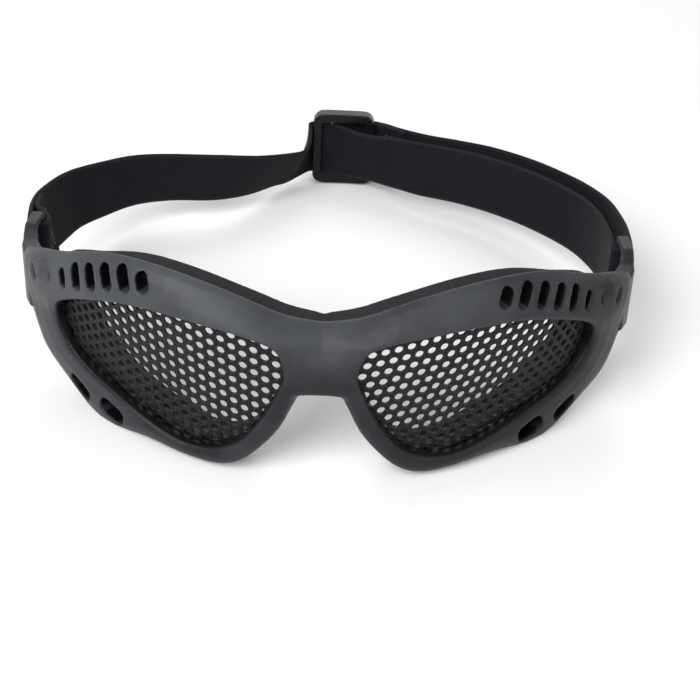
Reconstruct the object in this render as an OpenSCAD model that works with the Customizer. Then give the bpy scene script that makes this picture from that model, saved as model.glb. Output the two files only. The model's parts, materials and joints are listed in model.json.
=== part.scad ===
// Mesh safety goggles: a moulded rubber frame with two curved perforated steel lenses,
// a face foam behind it, and one webbing strap that a slider holds at the back.
// The goggles stand on a table as they are photographed: +X is the wearer's left,
// -Y is the front, and the lobes of the frame and the slider rest on Z = 0.

/* [Curved front] */
// Radius of the front's curve, at the mesh
lens_r = 117; // [105:1:130]
// Outward lean of each half at its top, in degrees
lean_out = 8; // [5:0.5:10]
// Backward lean of the front, in degrees
lean_back = 2.5; // [1:0.5:5]
// Distance of each half's centre of curvature past the midline
curve_cross = 8.9; // [7:0.1:11]
// Height of the middle of the mesh above the table
mesh_mid_z = 35; // [34:0.5:38]

/* [Frame] */
// Width of one eye opening, along the curve
eye_w = 75.3; // [70:0.1:80]
// Height of one eye opening
eye_h = 44.2; // [41:0.1:47]
// Distance along the curve from the midline to an eye opening
bridge_half = 8; // [7:0.1:10]
// Width of the frame round the openings, as a share of the usual width
rim_share = 1; // [0.9:0.01:1.05]
// Height of the brow's front edge above the mesh surface
brow_front = 6; // [5:0.1:7]
// Height of the lower rim above the mesh surface
cheek_front = 4; // [3.2:0.1:4.8]
// Depth of the frame behind the mesh surface
frame_back = 4.5; // [4:0.1:5.5]
// How much the front of the rim is crowned
rim_crown = 1.1; // [0.6:0.1:1.6]

/* [Vents] */
// Width of a brow vent slot
slot_w = 2.5; // [2:0.1:2.8]
// Length of a brow vent slot
slot_len = 6.3; // [5:0.1:6.8]
// Slant of the brow vent slots, in degrees
slot_slant = 20; // [10:1:24]
// Distance between neighbouring brow vent slots, along the curve
slot_pitch = 5.9; // [5.4:0.05:6.2]
// Depth of the blind slots on the temples
blind_depth = 0.9; // [0.5:0.1:1.2]
// Width of a cheek vent
cheek_vent_w = 4.4; // [3.4:0.1:4.8]
// Length of a cheek vent
cheek_vent_len = 7.4; // [6:0.1:8]

/* [Mesh] */
// Thickness of the steel sheet
mesh_t = 0.8; // [0.5:0.1:1]
// Distance between the centres of neighbouring holes
hole_pitch = 3.55; // [3.4:0.05:4.2]
// Diameter of a hole
hole_d = 2.4; // [1.8:0.1:2.6]
// Turn of the hole rows on the lens at +X, in degrees
rows_turn_left = 18; // [0:1:59]
// Turn of the hole rows on the lens at -X, in degrees
rows_turn_right = 37; // [0:1:59]
// How far the sheet reaches into the rubber all round
lens_seat = 2.2; // [1.6:0.1:2.6]
// Clearance between the sheet and its groove
groove_gap = 0.12; // [0.05:0.01:0.2]

/* [Foam] */
// Thickness of the face foam
foam_t = 7; // [5:0.5:9]
// Distance that the foam stands back from the edges of the eye openings
foam_inner_step = 1.2; // [0.5:0.1:2]
// Width of the foam as a share of the frame's rim
foam_share = 0.82; // [0.7:0.01:0.88]
// Glue gap between the foam and the frame
glue_gap = 0.25; // [0.2:0.05:0.4]

/* [Strap ears] */
// Distance from the midline to the strap bars
bar_x = 90.6; // [88.5:0.1:93]
// Distance of the strap bars behind the mesh at the nose
bar_y = 70.9; // [67:0.1:74]
// Height of the middle of the strap bars above the table
bar_z = 28.7; // [27:0.1:31]
// Thickness of an ear plate, which is also the bar's
ear_t = 3.6; // [3:0.1:4]
// Depth of a strap bar, front to back
bar_depth = 5.3; // [4.2:0.1:7]
// Opening of the strap slot, front to back
slot_gap = 7; // [6:0.1:9]
// Height of the rubber above and below the strap slot
ear_rail = 2.1; // [1.8:0.1:3]

/* [Strap] */
// Width of the webbing
strap_w = 20; // [18:0.5:22]
// Thickness of the webbing
strap_t = 1.3; // [1:0.1:1.5]
// Radius of the back run of the strap, at the middle of the inner layer
back_r = 89.7; // [88:0.1:92]
// Distance of the back run's centre from the midline
back_x = 2; // [0:0.1:4]
// Distance of the back run's centre behind the strap bars
back_y = 23; // [21:0.1:25]
// Clearance round a fold of the webbing
fold_gap = 0.25; // [0.2:0.01:0.4]

/* [Slider] */
// Height of the slider
slider_h = 27.6; // [26:0.1:30]
// Length of the slider along the strap
slider_len = 24; // [22:0.5:28]
// Length of each of the slider's outer bars
slider_bar = 3.4; // [2.8:0.1:4]
// Length of the slider's middle bar
middle_bar = 4; // [3.4:0.1:5]
// Thickness of the slider's outer bars
slider_bar_t = 1.7; // [1.4:0.1:2.2]
// Thickness of the slider's middle bar
middle_bar_t = 1.8; // [1.5:0.1:2]
// Radius of the slider's corners
slider_corner = 4; // [2:0.5:5]

/* [Stitching] */
// Thickness of the sewing thread
thread_d = 0.5; // [0.4:0.1:0.7]
// Number of rows in each bar tack
tack_rows = 3; // [2:1:4]
// Distance between the rows of a bar tack
tack_pitch = 2.2; // [1.8:0.1:2.6]

/* [Hidden] */
$fn = 96;
big = 400;

// Where the curve's axis passes each half
nose_turn = asin(curve_cross / lens_r);
axis_y = lens_r * cos(nose_turn);
degrees_per_mm = 180 / (PI * lens_r);
// The middle of the mesh lies at this share of an opening's height
mid_share = 0.593;

// Each row is one place round an eye opening: how far along and up the opening it lies, the step
// from there to the frame's outline in mm, how much of the brow's height the front has there
// (0 at the cheek, 1 at the brow), the front's height at the outline, and the share of the step
// that the back covers, because the brow's top slopes down towards the foam
places = [
    [0.008, 0.638, -16, 0, 0.5, 5, 1],
    [0.016, 0.559, -16, -4.4, 0.3, 4.4, 1],
    [0.041, 0.480, -6.9, -1.3, 0.1, 3.2, 1],
    [0.079, 0.367, -6.1, -0.5, 0, 2.4, 1],
    [0.136, 0.231, -5.5, -2.5, 0, 2.4, 1],
    [0.217, 0.088, -5.5, -2.9, 0, 2.4, 1],
    [0.306, 0.016, -5.3, -5.3, 0, 2.4, 1],
    [0.385, 0, -4.1, -6.6, 0, 2.4, 1],
    [0.480, 0.023, -1, -6.4, 0, 2.4, 1],
    [0.615, 0.122, 2, -8.6, 0, 2.4, 1],
    [0.764, 0.253, 10.2, -15, 0, 2.4, 1],
    [0.873, 0.348, 16.3, -10, 0, 2.4, 1],
    [0.962, 0.457, 20.8, -8, 0, 2.4, 1],
    [1, 0.581, 20.6, -4.5, 0, 2.4, 1],
    [1, 0.683, 19.6, -1, 0.1, 2.6, 1],
    [0.959, 0.803, 20, 5, 0.8, 2.8, 0.95],
    [0.886, 0.878, 21, 7.6, 1, 1.6, 0.82],
    [0.778, 0.939, 10.1, 10.1, 1, 1, 0.76],
    [0.642, 0.986, 4, 12, 1, 0.8, 0.73],
    [0.507, 1, 1.2, 11.7, 1, 0.8, 0.71],
    [0.331, 0.962, 0.9, 10.6, 1, 0.2, 0.7],
    [0.163, 0.896, 0.3, 8.4, 1, -0.6, 0.68],
    [0.054, 0.826, -4.8, 4.4, 1, -1.6, 0.82],
    [0.014, 0.751, -16, 3.4, 0.9, -2, 0.92]];
place_steps = 3;

// Points along each section of the frame, as a share of the rim and a height between its ends
front_shares = [0.1, 0.35, 0.65, 0.88];
back_shares = [0.67, 0.33];

function spline(a, b, c, d, t) =
    0.5 * (2 * b + (c - a) * t + (2 * a - 5 * b + 4 * c - d) * t * t + (3 * b - a - 3 * c + d) * t * t * t);
function closed_curve(rows, steps) =
    let (n = len(rows))
    [for (i = [0:n - 1]) for (j = [0:steps - 1])
        spline(rows[(i + n - 1) % n], rows[i], rows[(i + 1) % n], rows[(i + 2) % n], j / steps)];
function open_curve(points, steps) =
    let (n = len(points))
    concat([for (i = [0:n - 2]) for (j = [0:steps - 1])
        spline(points[max(i - 1, 0)], points[i], points[i + 1], points[min(i + 2, n - 1)], j / steps)],
        [points[n - 1]]);
function crown(t) = 4 * t * (1 - t);
function unit(v) = v / norm(v);

rows = closed_curve(places, place_steps);
function opening_at(row) = [bridge_half + row[0] * eye_w, (row[1] - mid_share) * eye_h];
function rim_step(row) = [row[2], row[3]] * rim_share;

// A point at a distance along the curve, up it and out from it
function on_front(along, up, out) =
    let (turn = nose_turn + along * degrees_per_mm)
    [(lens_r + out) * sin(turn), -(lens_r + out) * cos(turn), up];

// A section from an opening to the outline: distance along the rim's step, and height
function frame_section(row) =
    let (a = cheek_front + (brow_front - cheek_front) * row[4], b = row[5],
        seat = (lens_seat + groove_gap) / norm(rim_step(row)), half = mesh_t / 2 + groove_gap)
    concat([[0, -frame_back], [0, -half], [seat, -half], [seat, half], [0, half], [0, a - 0.7]],
        [for (t = front_shares) [t, a + (b - a) * t + rim_crown * crown(t)]],
        [[1, b - 0.9], [row[6], -frame_back]],
        [for (t = back_shares) [t * row[6], -frame_back]]);
function foam_section(row) =
    let (start = foam_inner_step / norm(rim_step(row)), face = -frame_back - glue_gap,
        end = foam_share * row[6])
    concat([[start, face - foam_t + 1.2], [start, face]],
        [for (t = [0.33, 0.67]) [start + (end - start) * t, face]],
        [[end, face], [end, face - foam_t + 1.2]],
        [for (t = [0.85, 0.5, 0.15]) [start + (end - start) * t, face - foam_t]]);

module ring(sections) {
    n = len(sections);
    k = len(sections[0]);
    points = [for (i = [0:n - 1]) for (s = sections[i])
        let (p = opening_at(rows[i]) + rim_step(rows[i]) * s[0])
        on_front(p[0], p[1], s[1])];
    faces = [for (i = [0:n - 1]) for (j = [0:k - 1])
        let (a = i * k + j, b = i * k + (j + 1) % k, c = ((i + 1) % n) * k + (j + 1) % k, d = ((i + 1) % n) * k + j)
        each [[a, c, b], [a, d, c]]];
    polyhedron(points, faces, convexity = 8);
}

// The +X half's curved surface, placed on the table
module on_curve() {
    translate([-curve_cross, axis_y, mesh_mid_z])
        rotate([-lean_back, lean_out, 0])
            children();
}
// A frame on the curved surface: X points out of it, Z up along it
module at_front(along, up) {
    rotate([0, 0, nose_turn + along * degrees_per_mm - 90])
        translate([lens_r, 0, up])
            children();
}
module both_sides() {
    children();
    mirror([1, 0, 0]) children();
}
// The half space on the +X side of the midline and above the table
module own_half() {
    translate([0, -big / 2, 0]) cube([big, big, big]);
}

// The layers at the slider, as radii of the back run: outer bars, strap, loop, middle bar, loop
slide_gap = 0.3;
bars_in_r = back_r - strap_t / 2 - slide_gap - slider_bar_t;
loop_in_r = back_r + strap_t + slide_gap;
middle_bar_r = loop_in_r + strap_t / 2 + fold_gap / 2;
slider_out_r = middle_bar_r + middle_bar_t;
outer_r = slider_out_r + fold_gap / 2 + strap_t / 2;

// The ears, the strap and the slider share one plane, which falls towards the back until the
// slider's lower edge rests on the table
slider_back = back_y + slider_out_r;
strap_fall = asin(bar_z / norm([slider_back, slider_h / 2])) - atan2(slider_h / 2, slider_back);
module at_bars() {
    translate([0, bar_y, bar_z])
        rotate([-strap_fall, 0, 0])
            children();
}

ear_h = strap_w + 0.8 + 2 * ear_rail;
ear_reach = 26;
ear_back = bar_depth - ear_t;
ear_corner_r = 3;
fold_r = ear_t / 2 + fold_gap + strap_t / 2;

// Seen from above, the plate runs from the cheek to the bar, which ends in a half circle
ear_plan = concat(
    [[bar_x - ear_t / 2 - 5, -ear_reach + 5.5], [bar_x - 2.6, -ear_reach], [bar_x + ear_t / 2 - 0.7, -16],
        [bar_x + ear_t / 2, -slot_gap]],
    [for (a = [0:22.5:180]) [bar_x + ear_t / 2 * cos(a), ear_back + ear_t / 2 * sin(a)]],
    [[bar_x - ear_t / 2, -slot_gap - 4], [bar_x - ear_t / 2 - 2.8, -16]]);
// Seen from the side, it tapers towards the cheek and its back corners are round
ear_side = concat(
    [[-ear_reach - 2, -6.5], [-14, -ear_h / 2 + 2.5], [-slot_gap - 2, -ear_h / 2]],
    [for (a = [-90:22.5:0]) ear_corner_at(-1, a)],
    [for (a = [0:22.5:90]) ear_corner_at(1, a)],
    [[-slot_gap - 2, ear_h / 2], [-14, ear_h / 2 - 3], [-ear_reach - 2, 7]]);
function ear_corner_at(s, a) =
    [ear_back + ear_t / 2 - ear_corner_r, s * (ear_h / 2 - ear_corner_r)] + ear_corner_r * [cos(a), sin(a)];
// The strap slot, whose back wall is the bar's round front
slot_plan = concat(
    [[bar_x - ear_t, -slot_gap], [bar_x + ear_t, -slot_gap], [bar_x + ear_t, 0]],
    [for (a = [0:18:180]) [bar_x + ear_t / 2 * cos(a), -ear_t / 2 * sin(a)]],
    [[bar_x - ear_t, 0]]);

module ear() {
    at_bars() {
        difference() {
            intersection() {
                linear_extrude(2 * ear_h, center = true) polygon(ear_plan);
                rotate([90, 0, 90]) linear_extrude(2 * bar_x) polygon(ear_side);
            }
            linear_extrude(ear_h - 2 * ear_rail, center = true) polygon(slot_plan);
        }
    }
}

// The proud band that runs from the outer corner of the opening to the ear. Each row is a place:
// distance along the curve, lower and upper edge, and how much of its full height it has there.
band_rows = [
    [76, 13.6, 21, 0.45],
    [80, 12, 22.8, 0.8],
    [85, 10.2, 22.6, 0.95],
    [90, 8.8, 21.6, 0.95],
    [95, 7.8, 20.2, 0.85],
    [100, 7.4, 18.6, 0.62],
    [104, 8, 17.2, 0.35]];
// Its section, from the lower edge to the upper one: share of its width, and height
band_foot = -1.5;
band_section = [[0, band_foot], [0, 4.2], [0.08, 5.3], [0.3, 5.7], [0.6, 5.4], [0.88, 4.2], [1, 1.4],
    [1, band_foot]];
module temple_band() {
    n = len(band_rows);
    k = len(band_section);
    points = [for (r = band_rows) for (q = band_section)
        on_front(r[0], r[1] + (r[2] - r[1]) * q[0], band_foot + (q[1] - band_foot) * r[3])];
    sides = [for (i = [0:n - 2]) for (j = [0:k - 1])
        let (a = i * k + j, b = i * k + (j + 1) % k, c = b + k, d = a + k)
        each [[a, b, c], [a, c, d]]];
    on_curve()
        polyhedron(points, concat(sides, [[for (j = [k - 1:-1:0]) j], [for (j = [0:k - 1]) (n - 1) * k + j]]));
}

// Brow vents: the middle of each slot, counted from the nose
slot_from = 44.3;
slot_rise = [24.7, 24.9, 24.2, 22.9, 21.4, 19.5];
module brow_vents() {
    for (i = [0:5]) {
        size = i == 0 || i == 5 ? 0.75 : 1;
        on_curve()
            at_front(slot_from + i * slot_pitch, slot_rise[i])
                rotate([-slot_slant, 0, 0])
                    slot(slot_w * (i == 5 ? 0.7 : 1), slot_len * size, vent_from);
    }
}
// Two more on each temple are blind: along, up and the height of the band's front there
blind_slots_at = [[81, 19, 4.4], [88.6, 17.2, 4.6]];
module blind_slots() {
    for (b = blind_slots_at)
        on_curve()
            at_front(b[0], b[1])
                rotate([-slot_slant, 0, 0])
                    slot(slot_w * 0.7, slot_len * 0.75, b[2] - blind_depth);
}
// A vent is cut right through, from behind the foam to in front of the brow
vent_from = -frame_back - foam_t;
vent_to = 2.5 * brow_front;
module slot(w, length, from) {
    straight = length - w;
    translate([from, -w / 2, -straight / 2]) cube([vent_to - from, w, straight]);
    for (s = [-1, 1])
        translate([from, 0, s * straight / 2])
            rotate([0, 90, 0])
                cylinder(d = w, h = vent_to - from);
}
// Cheek vents: along, up and turn of each
cheek_vents_at = [[80.9, -20.5, 57], [67.2, -23.6, 62]];
module cheek_vents() {
    for (c = cheek_vents_at)
        on_curve()
            at_front(c[0], c[1])
                rotate([-c[2], 0, 0])
                    slot(cheek_vent_w, cheek_vent_len, vent_from);
}

// The outline of a lens, in the plane square to the middle of the lens
cut_turn = nose_turn + (bridge_half + eye_w / 2) * degrees_per_mm;
lens_outline =
    [for (r = rows)
        let (p = opening_at(r) + unit(rim_step(r)) * lens_seat, turn = nose_turn + p[0] * degrees_per_mm - cut_turn)
        [lens_r * sin(turn), p[1]]];
lens_strips = 26;
lens_reach = 23;
function lens_arc(r) =
    [for (i = [0:lens_strips])
        let (a = cut_turn + lens_reach * (2 * i / lens_strips - 1))
        [r * sin(a), -r * cos(a)]];
module lens_sheet() {
    intersection() {
        linear_extrude(2 * eye_h, center = true)
            polygon(concat(lens_arc(lens_r + mesh_t / 2), swap(lens_arc(lens_r - mesh_t / 2))));
        rotate([0, 0, cut_turn])
            rotate([90, 0, 0])
                linear_extrude(2 * lens_r)
                    polygon(lens_outline);
    }
}

// Places for holes are kept where the whole hole lies inside the seated outline
edge = [for (r = rows) opening_at(r) + unit(rim_step(r)) * (lens_seat - 1)];
function crossings(p) =
    let (n = len(edge))
    len([for (i = [0:n - 1])
        let (a = edge[i], b = edge[(i + 1) % n])
        if ((a[1] > p[1]) != (b[1] > p[1]) && p[0] < a[0] + (b[0] - a[0]) * (p[1] - a[1]) / (b[1] - a[1])) i]);
function inside(p) = crossings(p) % 2 == 1;
function hole_places(turn) =
    let (reach = ceil(eye_w / hole_pitch), middle = [bridge_half + eye_w / 2, 0])
    [for (i = [-reach:reach]) for (j = [-reach:reach])
        let (x = (i + j / 2) * hole_pitch, y = j * hole_pitch * sin(60),
            p = middle + [x * cos(turn) - y * sin(turn), x * sin(turn) + y * cos(turn)])
        if (abs(p[0] - middle[0]) < eye_w / 2 + 2 && abs(p[1]) < eye_h
            && len([for (a = [0:60:300]) if (inside(p + hole_d / 2 * [cos(a), sin(a)])) 1]) == 6) p];

module lens(turn) {
    color("dimgray")
        on_curve()
            difference() {
                lens_sheet();
                for (p = hole_places(turn))
                    at_front(p[0], p[1])
                        rotate([0, 90, 0])
                            cylinder(d = hole_d, h = 6, center = true, $fn = 6);
            }
}

module frame_half() {
    difference() {
        union() {
            intersection() {
                on_curve() ring([for (r = rows) frame_section(r)]);
                own_half();
            }
            temple_band();
            ear();
        }
        brow_vents();
        blind_slots();
        cheek_vents();
    }
}

// Strap: the path of the webbing's middle, seen from above in the plane of the bars.
// A point is a distance from the midline and a distance behind the bars.
function back_arc(r, from, to, n) =
    [for (i = [0:n]) let (a = from + (to - from) * i / n) [back_x + r * sin(a), back_y + r * cos(a)]];
function bar_fold(side) =
    [for (i = [0:8]) let (a = 180 * i / 8) [side * bar_x - fold_r * cos(a), -fold_r * sin(a)]];
inner_x = bar_x - fold_r;
outer_x = bar_x + fold_r;
slider_at = [back_x, back_y + back_r];
left_run = [[-outer_x, 0], [-outer_x - 0.9, 8], [-outer_x - 1.1, 18], [-93.3, 29], [-89.5, 44], [-81.5, 55.5],
    [-72, 65.5], [-60, 71], [-44, 74], [-30.5, 83], slider_at + [-22.5, -17.2], slider_at + [-17.8, -8.4],
    slider_at + [-14.9, -3.4]];
right_run = [slider_at + [15, -3.4], slider_at + [18.2, -8.9], slider_at + [23.5, -17.2], [33, 90], [45, 84.5],
    [56, 77], [67, 66.5], [76.5, 54], [83.5, 41.5], [87, 30], [inner_x + 0.5, 20], [inner_x + 0.5, 9], [inner_x, 0]];
return_run = [[outer_x, 0.35], [outer_x + 0.9, 9], [outer_x + 1, 21], [92.2, 39], [87, 53.5], [80, 65.5], [70.5, 78],
    [58, 89.5], [46, 96], slider_at + [32, -11.2], slider_at + [22, -4.2], slider_at + [16.5, 0.8]];
// The end of the webbing that is folded round the ear's bar and sewn, and the middle of its stitches
ear_tail = [[-outer_x - 0.55 + strap_t, 22], [-outer_x - 0.95 + strap_t, 15], [-inner_x - 1.9, 8.5],
    [-inner_x - 0.1, 3.5], [-inner_x, 0]];
ear_sewn_at = [-outer_x - 0.35, 17.5, 0];
ear_sewn_turn = 94;
// The end that is folded round the slider's middle bar and sewn under its own run
sewn_under = -(strap_t + 0.3) * [0.6, 0.8];
slider_tail = [slider_at + sewn_under + [16, 1.1], slider_at + sewn_under + [22, -4.2],
    slider_at + sewn_under + [24.5, -6.1]];
slider_sewn_at = concat(slider_at + sewn_under / 2 + [19.3, -1.8], [0]);
slider_sewn_turn = -42;
function swap(list) = [for (i = [len(list) - 1:-1:0]) list[i]];
function tail(list) = [for (i = [1:len(list) - 1]) list[i]];
arc_end = 8.3;
strap_path = concat(
    open_curve(ear_tail, 4),
    tail(swap(bar_fold(-1))),
    tail(open_curve(concat(left_run, [back_arc(back_r, -arc_end, 0, 1)[0]]), 4)),
    tail(back_arc(back_r, -arc_end, arc_end, 6)),
    tail(open_curve(concat([back_arc(back_r, arc_end, 0, 1)[0]], right_run), 4)),
    tail(bar_fold(1)));

loop_r = (outer_r - loop_in_r) / 2;
middle_turn = middle_bar / 2 / back_r * 180 / PI;
function loop_fold() =
    let (c = (loop_in_r + outer_r) / 2, a0 = -middle_turn)
    [for (i = [0:8])
        let (a = 180 * i / 8, p = [c + loop_r * cos(a), -loop_r * sin(a)])
        [back_x + p[0] * sin(a0) + p[1] * cos(a0), back_y + p[0] * cos(a0) - p[1] * sin(a0)]];
return_path = concat(
    open_curve(concat(return_run, [back_arc(outer_r, 6, 0, 1)[0]]), 4),
    tail(back_arc(outer_r, 6, -middle_turn, 5)),
    tail(loop_fold()),
    tail(back_arc(loop_in_r, -middle_turn, middle_turn + 0.5, 3)),
    open_curve(concat([back_arc(loop_in_r + 0.4, middle_turn + 2, 0, 1)[0]], slider_tail), 3));

function along_path(path, i) =
    unit(path[min(i + 1, len(path) - 1)] - path[max(i - 1, 0)]);
function beside(path, d) =
    [for (i = [0:len(path) - 1]) let (t = along_path(path, i)) path[i] + d * [-t[1], t[0]]];
module webbing(path) {
    linear_extrude(strap_w, center = true)
        polygon(concat(beside(path, strap_t / 2), swap(beside(path, -strap_t / 2))));
}

// A bar along the strap's back run: radii, turn limits and height
module arc_bar(r0, r1, from, to, h) {
    translate([back_x, back_y, -h / 2])
        rotate([0, 0, 90 - to])
            rotate_extrude(angle = to - from)
                translate([r0, 0])
                    square([r1 - r0, h]);
}
slider_turn = slider_len / 2 / back_r * 180 / PI;
bar_turn = slider_bar / back_r * 180 / PI;
rail_h = (slider_h - strap_w - 0.7) / 2;

clear_h = slider_h - 2 * rail_h;
function rounded_plate(w, h, r) =
    [for (q = [0:3]) for (i = [0:6])
        let (a = 90 * q + 15 * i, c = [q == 0 || q == 3 ? w / 2 - r : r - w / 2, q < 2 ? h / 2 - r : r - h / 2])
        c + r * [cos(a), sin(a)]];

module slider_solid() {
    difference() {
        intersection() {
            arc_bar(bars_in_r, slider_out_r, -slider_turn, slider_turn, slider_h);
            translate([back_x, back_y + bars_in_r - 3, 0])
                rotate([-90, 0, 0])
                    linear_extrude(slider_out_r - bars_in_r + 6)
                        polygon(rounded_plate(slider_len - 0.2, slider_h, slider_corner));
        }
        // The way through for the strap, then the windows beside the bars
        arc_bar(bars_in_r + slider_bar_t, middle_bar_r, -slider_turn - 2, slider_turn + 2, clear_h);
        arc_bar(bars_in_r - 1, middle_bar_r - 0.5, bar_turn - slider_turn, slider_turn - bar_turn, clear_h);
        arc_bar(middle_bar_r - 0.5, slider_out_r + 1, middle_turn, slider_turn + 2, clear_h);
        arc_bar(middle_bar_r - 0.5, slider_out_r + 1, -slider_turn - 2, -middle_turn, clear_h);
    }
}

// A bar tack: rows of thread that lie on both faces and pass through the layers
module bar_tack(depth) {
    row_h = strap_w * 0.6;
    for (i = [0:tack_rows - 1])
        translate([(i - (tack_rows - 1) / 2) * tack_pitch, 0, 0])
            cube([thread_d, depth, row_h], center = true);
}

// The goggles' middle, front to back
front_y = -1.02 * brow_front;
back_reach = (back_y + outer_r + strap_t / 2) * cos(strap_fall) + strap_w / 2 * sin(strap_fall);
middle_y = (front_y + bar_y + back_reach) / 2;
module placed() {
    translate([0, -middle_y, 0]) children();
}

module frame() {
    color([0.27, 0.28, 0.3])
        placed()
            both_sides() frame_half();
}
module lens_left() {
    placed() lens(rows_turn_left);
}
module lens_right() {
    placed() mirror([1, 0, 0]) lens(rows_turn_right);
}
module face_foam() {
    color([0.16, 0.16, 0.17])
        placed()
            both_sides()
                intersection() {
                    on_curve() ring([for (r = rows) foam_section(r)]);
                    own_half();
                }
}
module strap() {
    color([0.12, 0.13, 0.15])
        placed() at_bars() webbing(strap_path);
}
module strap_return() {
    color([0.12, 0.13, 0.15])
        placed() at_bars() webbing(return_path);
}
module slider() {
    color([0.06, 0.06, 0.07])
        placed() at_bars() slider_solid();
}
module ear_tack() {
    color([0.2, 0.2, 0.22])
        placed()
            at_bars()
                translate(ear_sewn_at)
                    rotate([0, 0, ear_sewn_turn])
                        bar_tack(2 * strap_t + 1);
}
module slider_tack() {
    color([0.2, 0.2, 0.22])
        placed()
            at_bars()
                translate(slider_sewn_at)
                    rotate([0, 0, slider_sewn_turn])
                        bar_tack(2 * strap_t + 1);
}

frame();
lens_left();
lens_right();
face_foam();
strap();
strap_return();
slider();
ear_tack();
slider_tack();
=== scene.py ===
# %% [markdown]
# # Mesh goggles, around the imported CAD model
# The real object is a pair of safety goggles: a moulded rubber frame, two perforated steel lenses,
# a face foam and an elastic strap with a slider. The CAD part already has every piece at its
# size and place. This lesson gives the pieces what CAD leaves out: rounded edges, round holes,
# webbing that leans and weaves, stitches, and the finishes.

# %% Load the frame
import json
import math

import bmesh
import bpy
from mathutils import Matrix, Vector

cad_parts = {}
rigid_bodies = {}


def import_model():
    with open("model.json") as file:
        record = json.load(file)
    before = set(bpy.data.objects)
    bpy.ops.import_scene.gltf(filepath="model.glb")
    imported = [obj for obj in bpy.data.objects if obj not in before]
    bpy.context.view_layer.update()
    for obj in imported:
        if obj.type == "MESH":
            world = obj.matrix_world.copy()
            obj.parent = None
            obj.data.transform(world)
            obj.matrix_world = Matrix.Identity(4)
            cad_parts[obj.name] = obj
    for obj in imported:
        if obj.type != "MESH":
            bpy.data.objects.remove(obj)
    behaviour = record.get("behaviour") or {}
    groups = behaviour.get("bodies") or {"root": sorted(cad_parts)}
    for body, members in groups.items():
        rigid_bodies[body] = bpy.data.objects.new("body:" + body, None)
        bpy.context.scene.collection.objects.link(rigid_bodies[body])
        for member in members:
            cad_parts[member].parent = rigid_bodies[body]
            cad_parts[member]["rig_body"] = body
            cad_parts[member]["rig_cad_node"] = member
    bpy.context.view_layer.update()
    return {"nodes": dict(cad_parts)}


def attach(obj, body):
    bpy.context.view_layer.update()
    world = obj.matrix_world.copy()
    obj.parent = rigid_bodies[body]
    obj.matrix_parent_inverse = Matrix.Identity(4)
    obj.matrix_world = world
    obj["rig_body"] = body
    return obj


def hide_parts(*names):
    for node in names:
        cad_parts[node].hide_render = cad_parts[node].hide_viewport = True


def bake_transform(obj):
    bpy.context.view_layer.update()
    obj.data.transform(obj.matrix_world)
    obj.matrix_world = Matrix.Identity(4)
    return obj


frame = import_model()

MM = 0.001

# %% [markdown]
# An operator acts on everything that is selected, and loading leaves all nodes selected. These
# helpers start each step with nothing selected but the piece in hand.

# %% Selection helpers
def only(obj):
    if bpy.context.mode != "OBJECT":
        bpy.ops.object.mode_set(mode="OBJECT")
    bpy.ops.object.select_all(action="DESELECT")
    obj.select_set(True)
    bpy.context.view_layer.objects.active = obj
    return obj


def apply_all(obj):
    only(obj)
    for name in [m.name for m in obj.modifiers]:
        bpy.ops.object.modifier_apply(modifier=name)


def edit_all(obj):
    only(obj)
    bpy.ops.object.mode_set(mode="EDIT")
    bpy.ops.mesh.select_all(action="SELECT")


def face_outward(obj):
    edit_all(obj)
    bpy.ops.mesh.normals_make_consistent(inside=False)
    bpy.ops.object.mode_set(mode="OBJECT")


MERGE = 0.002 * MM


def merged_copy(node, name):
    """A copy of a CAD node under a new name, with its loose triangles joined."""
    source = frame["nodes"][node]
    obj = source.copy()
    obj.data = source.data.copy()
    obj.name = obj.data.name = name
    bpy.context.scene.collection.objects.link(obj)
    obj.parent = None
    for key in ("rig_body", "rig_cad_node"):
        del obj[key]
    obj.data.materials.clear()
    edit_all(obj)
    bpy.ops.mesh.remove_doubles(threshold=MERGE)
    bpy.ops.object.mode_set(mode="OBJECT")
    if obj.data.has_custom_normals:
        bpy.ops.mesh.customdata_custom_splitnormals_clear()
    return obj


def skin(obj, voxel_mm, rounds):
    """An even skin over the piece, relaxed so that its edges go round."""
    remesh = obj.modifiers.new("skin", "REMESH")
    remesh.mode = "VOXEL"
    remesh.voxel_size = voxel_mm * MM
    relax = obj.modifiers.new("relax", "SMOOTH")
    relax.factor = 0.5
    relax.iterations = rounds
    apply_all(obj)


def smooth(obj, degrees=180):
    only(obj)
    bpy.ops.object.shade_smooth_by_angle(angle=math.radians(degrees))


def triangles(obj):
    return sum(len(p.vertices) - 2 for p in obj.data.polygons)


# %% [markdown]
# Each half of the goggles lies on a cylinder that leans a little. The same numbers as in the CAD
# source place a point on it, so a new piece lands where the solid is. The reverse of that
# placing tells where on the front a vertex of the rubber lies. What cuts the front, such as a
# vent or the edge of a lens, is a cylinder whose points are moved to an outline on that front.

# %% The curved front
LENS_R = 117
CROSS = 8.9
MESH_MID_Z = 35
NOSE_TURN = math.asin(CROSS / LENS_R)
AXIS_Y = LENS_R * math.cos(NOSE_TURN)
MIDDLE_Y = 91.6922
DROP_DEG, LEAN_DEG = 8, -2.5
HALF = (Matrix.Translation(Vector((-CROSS, AXIS_Y - MIDDLE_Y, MESH_MID_Z)))
        @ Matrix.Rotation(math.radians(DROP_DEG), 4, "Y")
        @ Matrix.Rotation(math.radians(LEAN_DEG), 4, "X"))
HALF_BACK = HALF.inverted()


def on_front(along, up, out, side=1):
    """A point of the front, in metres: mm along the curve from the nose, up it and out from it."""
    turn = NOSE_TURN + along / LENS_R
    p = HALF @ Vector(((LENS_R + out) * math.sin(turn), -(LENS_R + out) * math.cos(turn), up))
    return Vector((side * p.x, p.y, p.z)) * MM


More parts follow.
